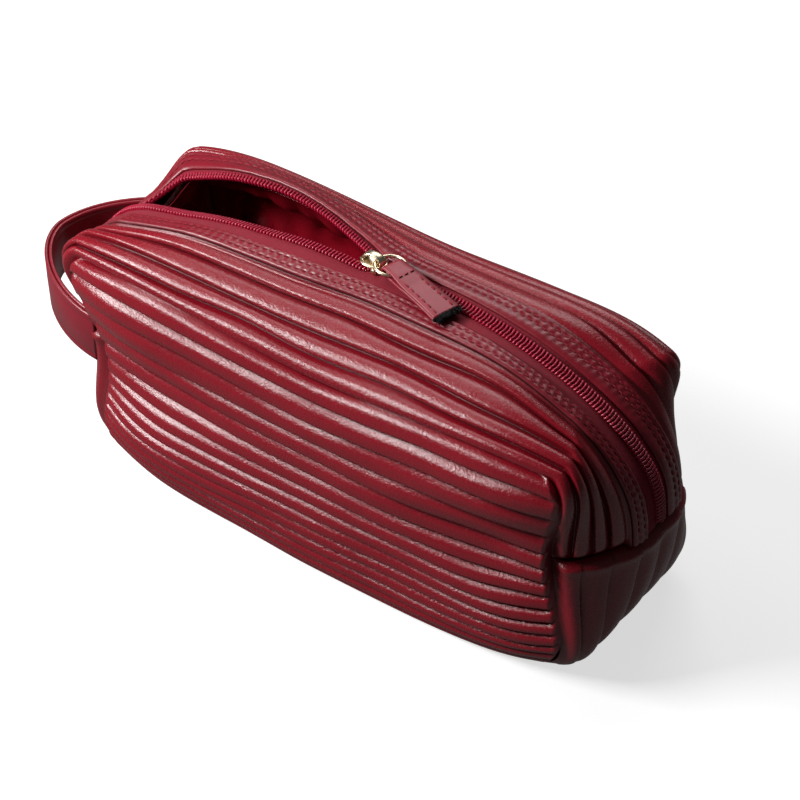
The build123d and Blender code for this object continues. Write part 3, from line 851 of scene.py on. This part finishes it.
for side, name in ((-1, "front"), (1, "back")):
    rows = []
    for offset in STITCH_ROWS:
        for s in np.arange(ZIP_START + STITCH_START, ZIP_END - 5, STITCH_PITCH):
            ends = []
            for place in (s, s + STITCH_LENGTH):
                point, normal = top_surface(place, lip_y(place, offset, side))
                ends.append(point + normal * (0.3 + lip_lift(place, offset, side)))
            rows.append(ends)
    stitches("facing_" + name + "_stitching", rows, thread, "bag")


def tube(name, line, radius, sides=6):
    """Tube along a line of points, with a radius for each."""
    line = np.asarray(line)
    tangent = np.gradient(line, axis=0)
    tangent /= np.linalg.norm(tangent, axis=1, keepdims=True)
    across = np.cross(tangent, [0.31, 0.12, 0.94])
    across /= np.linalg.norm(across, axis=1, keepdims=True)
    up = np.cross(tangent, across)
    angles = np.linspace(0, 2 * math.pi, sides, endpoint=False)
    rings = line[:, None] + radius[:, None, None] * (
        across[:, None] * np.cos(angles)[None, :, None] + up[:, None] * np.sin(angles)[None, :, None]
    )
    return solid_of_rings(name, rings)


# Coils: each a wound wire along its tape's edge; closed, each one's turns pass between the other's
for side, name in ((-1, "front"), (1, "back")):
    turns = int((ZIP_END - ZIP_START - 2) / COIL_PITCH)
    angle = np.linspace(0, turns * 2 * math.pi, turns * 12) + (math.pi if side > 0 else 0)
    s = ZIP_START + 1 + angle / (2 * math.pi) * COIL_PITCH
    middle = CHAIN_HALF_WIDTH - COIL_WIRE - COIL_HALF_WIDTH + 0.35
    offset = middle + COIL_HALF_WIDTH * np.cos(angle)
    points, normals = top_surface(s, lip_y(s, offset, side))
    height = COIL_HALF_HEIGHT * np.sin(angle) - COIL_SET_IN + lip_lift(s, offset, side)
    line = points + normals * height[:, None]
    coil = tube("zip_coil_" + name + "_wire", line, COIL_WIRE * (1 - 0.3 * np.cos(4 * angle)))
    finish_piece(coil, coil_plastic, "bag", ["zip_coil_" + name])

# Ring keeps its solid
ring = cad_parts["pull_ring"]
ring.data.materials.clear()
ring.data.materials.append(gold)


def slider_point(along, across, up):
    """Point of the slider's own frame, which leans with the arch."""
    return (SLIDER_X + along - SLIDER_LEAN * up, ZIP_Y + across, SLIDER_TOP + up + SLIDER_LEAN * along)


def plate(levels, sides=40):
    """Rings of an egg-shaped plate. Each level is (up, share of the outline)."""
    rings = []
    for up, share in levels:
        ring = []
        for k in range(sides):
            angle = 2 * math.pi * k / sides
            along = squared_up(math.cos(angle), 0.85) * SLIDER_LENGTH / 2
            width = SLIDER_WIDTH / 2 * (0.92 - 0.1 * along / (SLIDER_LENGTH / 2))
            across = squared_up(math.sin(angle), 0.85) * width
            ring.append(slider_point(along * share, across * share, up))
        rings.append(ring)
    return rings


upper = plate([
    (0.5, 0.86), (0.52, 0.95), (0.75, 1.0), (1.05, 0.99), (1.25, 0.93), (1.38, 0.8), (1.42, 0.5)
])
lower = plate([(-3.75, 0.84), (-3.72, 0.94), (-3.5, 1.0), (-3.1, 1.0), (-2.9, 0.92)])
post = [
    [slider_point(-4.6 + a * 1.4, b * w, up) for a, b in ((-1, -1), (1, -0.5), (1, 0.5), (-1, 1))]
    for up, w in ((-3.2, 0.9), (-1.0, 0.7), (0.8, 0.9))
]
flanges = []
corners = ((-1, -1), (1, -1), (1, 1), (-1, 1))
for hand in (-1, 1):
    flanges.append([
        [slider_point(2.4 + a * 1.2, hand * (3.8 + b * 0.35), up) for a, b in corners]
        for up in (-1.3, -0.4, 0.7)
    ])
piece = solid_of_rings("slider_plates", upper, lower, post, *flanges)
finish_piece(piece, gold, "slider", ["slider_body"])

# Humped crown: an arch of rounded strap-shaped section, hollow under its middle
arch = []
for angle in np.linspace(0.04, math.pi - 0.04, 26):
    along = -CROWN_HALF_LENGTH * math.cos(angle)
    up = 1.3 + CROWN_RISE * math.sin(angle) ** 0.75
    slope = (
        CROWN_HALF_LENGTH * math.sin(angle),
        CROWN_RISE * 0.75 * math.sin(angle) ** -0.25 * math.cos(angle),
    )
    size = math.hypot(*slope)
    normal = (-slope[1] / size, slope[0] / size)
    width = 1.55 + 0.55 * math.cos(angle) ** 2
    ring = []
    for k in range(14):
        turn = 2 * math.pi * k / 14
        across = squared_up(math.cos(turn), 0.7) * width
        thick = squared_up(math.sin(turn), 0.8) * CROWN_THICKNESS
        ring.append(slider_point(along + normal[0] * thick, across, up + normal[1] * thick))
    arch.append(ring)
piece = solid_of_rings("slider_arch", arch)
finish_piece(piece, gold, "slider", ["slider_crown"])


# Pull tab: a strip folded through the ring and sewn flat, with a bound cut end
def tab_point(along, across, up):
    drop = TAB_DROOP * (max(along - 6, 0) / TAB_LENGTH) ** 2
    return (
        TAB_ORIGIN[0] + along * TAB_DIRECTION[0] - across * TAB_DIRECTION[1],
        TAB_ORIGIN[1] + along * TAB_DIRECTION[1] + across * TAB_DIRECTION[0],
        TAB_ORIGIN[2] + up - drop,
    )


def tab_half_width(along):
    return float(np.interp(along, *zip(*TAB_WIDENS)))


under = [(a, -TAB_LAYER) for a in np.linspace(TAB_LENGTH, 15, 22)]
under += [(a, -np.interp(a, [7.0, 15], [TAB_BEND, TAB_LAYER])) for a in np.linspace(14, 7, 8)]
under += [(a, -TAB_BEND) for a in np.linspace(6, TAB_BEND_PLACE, 5)]
bend = [
    (TAB_BEND_PLACE - TAB_BEND * math.sin(turn), -TAB_BEND * math.cos(turn))
    for turn in np.linspace(0.25, math.pi - 0.25, 11)
]
fold_line = np.array([*under, *bend, *((a, -up) for a, up in reversed(under))])
fold_way = np.gradient(fold_line, axis=0)
fold_way /= np.linalg.norm(fold_way, axis=1, keepdims=True)
# The tab's section: share of the half width, and thickness from the layer's middle
TAB_SECTION = (
    (-1, -0.35), (-0.96, -0.58), (-0.5, -0.6), (0, -0.6), (0.5, -0.6), (0.96, -0.58), (1, -0.35),
    (1, 0.35), (0.96, 0.55), (0.82, 0.6), (0.7, 0.46), (0.5, 0.66), (0, 0.74), (-0.5, 0.66),
    (-0.7, 0.46), (-0.82, 0.6), (-0.96, 0.55), (-1, 0.35),
)
rings = []
for (along, up), (way_a, way_u) in zip(fold_line, fold_way):
    half = tab_half_width(along)
    rings.append([tab_point(along + way_u * t, share * half, up - way_a * t) for share, t in TAB_SECTION])
tab = solid_of_rings("pull_tab_leather", rings)
finish_piece(tab, tab_leather, "tab", ["pull_tab"])
rows = []
for hand in (-1, 1):
    for along in np.arange(9.5, TAB_LENGTH - 3, STITCH_PITCH):
        ends = [along, along + STITCH_LENGTH]
        rows.append([tab_point(a, hand * tab_half_width(a) * 0.66, 1.34) for a in ends])
for across in (-2.9, -0.2, 2.5):
    rows.append([tab_point(9.3, across - 0.6, 2.0), tab_point(9.3, across + 1.2, 2.0)])
stitches("pull_tab_stitching", rows, thread, "tab", TAB_STITCH_RADIUS)

# The tab's cut end, bound with thread, and loose fibres
bound = []
random = np.random.default_rng(7)
for k in range(31):
    across = (k / 30 * 2 - 1) * (tab_half_width(TAB_LENGTH) + 0.3)
    shrink = 1 - abs(k / 15 - 1) ** 6 * 0.5
    ring = []
    for j in range(10):
        turn = 2 * math.pi * j / 10
        size = shrink * (1.0 + 0.22 * random.uniform(-1, 1))
        along = TAB_LENGTH - 0.2 + 0.95 * size * math.cos(turn)
        ring.append(tab_point(along, across, 1.3 * size * math.sin(turn)))
    bound.append(ring)
end_piece = solid_of_rings("pull_tab_bound_end", bound)
finish_piece(end_piece, black_thread, "tab")
rows = []
for _ in range(FIBRES):
    across = random.uniform(-1, 1) * tab_half_width(TAB_LENGTH)
    up = random.uniform(-1.1, 1.2)
    reach = random.uniform(0.6, 1.9)
    sway = random.uniform(-0.9, 0.9)
    lift = random.uniform(-0.5, 0.4)
    rows.append([
        tab_point(TAB_LENGTH + 0.2, across, up),
        tab_point(TAB_LENGTH + 0.5 + reach, across + sway, up + lift),
    ])
stitches("pull_tab_cut_fibres", rows, black_thread, "tab", FIBRE_RADIUS)


# Strap: two layers of leather in a loop on edge, whose ends run into the corner seams
def strap_point(angle, offset, height):
    along = abs(math.cos(angle)) ** (2 / STRAP_POWER)
    across = squared_up(math.sin(angle), 2 / STRAP_POWER)
    span = STRAP_SPAN_FRONT if angle < 0 else STRAP_SPAN_BACK
    return np.array([
        STRAP_ROOT - (STRAP_REACH + offset) * along - STRAP_TILT * height * along,
        (span + offset) * across,
        STRAP_LEVEL + STRAP_RISE * across + height,
    ])


# A strap layer's section: share of the way from its inner to its outer face, and height
STRAP_SECTION = (
    (0.0, -10.4), (0.0, -8.6), (0.12, -8.2), (0, -7.8), (-0.06, 0), (0, 7.8), (0.12, 8.2), (0.0, 8.6),
    (0.0, 10.4), (0.22, 10.9), (0.5, 11.05), (0.78, 10.9),
    (1.0, 10.4), (1.0, 8.6), (0.88, 8.2), (1.0, 7.8), (1.06, 0), (1.0, -7.8), (0.88, -8.2), (1.0, -8.6),
    (1.0, -10.4), (0.78, -10.9), (0.5, -11.05), (0.22, -10.9),
)
for name, (near, far) in STRAP_LAYERS.items():
    rings = []
    for angle in np.linspace(-math.pi / 2 + 0.02, math.pi / 2 - 0.02, 150):
        rings.append([strap_point(angle, mix(near, far, share), height) for share, height in STRAP_SECTION])
    layer = solid_of_rings("strap_" + name + "_leather", rings)
    layer.data.materials.append(smooth_leather)
    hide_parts("strap_" + name)
    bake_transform(layer)


def build_stage():
    bpy.ops.mesh.primitive_plane_add(size=8.0, location=(0, 0, 0))
    floor = bpy.context.object
    floor.name = "floor"
    material, tree, shader = nodes_for("floor")
    shader.inputs["Roughness"].default_value = 0.95
    shader.inputs["Specular IOR Level"].default_value = 0.0
    path = tree.nodes.new("ShaderNodeLightPath")
    paper = mixed(tree, path.outputs["Is Camera Ray"], (0.07,) * 3, (0.6,) * 3)
    tree.links.new(paper, shader.inputs["Base Color"])
    faint = add(tree, "ShaderNodeMath", operation="MULTIPLY")
    tree.links.new(path.outputs["Is Glossy Ray"], faint.inputs[0])
    faint.inputs[1].default_value = FLOOR_REFLECTED
    seen = add(tree, "ShaderNodeMath", operation="MAXIMUM")
    tree.links.new(path.outputs["Is Camera Ray"], seen.inputs[0])
    tree.links.new(faint.outputs[0], seen.inputs[1])
    glow = add(tree, "ShaderNodeMath", operation="MULTIPLY")
    tree.links.new(seen.outputs[0], glow.inputs[0])
    glow.inputs[1].default_value = FLOOR_GLOW
    shader.inputs["Emission Color"].default_value = (1, 1, 1, 1)
    tree.links.new(glow.outputs[0], shader.inputs["Emission Strength"])
    floor.data.materials.append(material)
    world = bpy.data.worlds.new("studio")
    world.use_nodes = True
    tree = world.node_tree
    background = tree.nodes["Background"]
    background.inputs["Color"].default_value = (1, 1, 1, 1)
    path = tree.nodes.new("ShaderNodeLightPath")
    light = add(tree, "ShaderNodeMapRange")
    light.inputs["To Min"].default_value = WORLD_LIGHT
    tree.links.new(path.outputs["Is Camera Ray"], light.inputs["Value"])
    tree.links.new(light.outputs["Result"], background.inputs["Strength"])
    scene.world = world


def aim(thing, target):
    direction = Vector(target) - thing.location
    thing.rotation_euler = direction.to_track_quat("-Z", "Y").to_euler()


def lamp(name, place, target, size, power):
    data = bpy.data.lights.new(name, "AREA")
    data.shape = "RECTANGLE"
    data.size, data.size_y = size
    data.energy = power
    thing = bpy.data.objects.new(name, data)
    scene.collection.objects.link(thing)
    thing.location = place
    aim(thing, target)


build_stage()
for name, (place, target, size, power) in LAMPS.items():
    lamp(name, place, target, size, power)

camera_data = bpy.data.cameras.new("camera")
camera = bpy.data.objects.new("camera", camera_data)
scene.collection.objects.link(camera)
camera.location = (
    CAMERA_DISTANCE * math.sin(CAMERA_AZIMUTH) * math.cos(CAMERA_ELEVATION),
    -CAMERA_DISTANCE * math.cos(CAMERA_AZIMUTH) * math.cos(CAMERA_ELEVATION),
    CAMERA_TARGET[2] + CAMERA_DISTANCE * math.sin(CAMERA_ELEVATION),
)
aim(camera, CAMERA_TARGET)
camera_data.sensor_width = SENSOR_WIDTH
camera_data.lens = LENS
camera_data.shift_x, camera_data.shift_y = LENS_SHIFT
camera_data.clip_end = 20.0
scene.camera = camera
scene.view_settings.view_transform = "Standard"
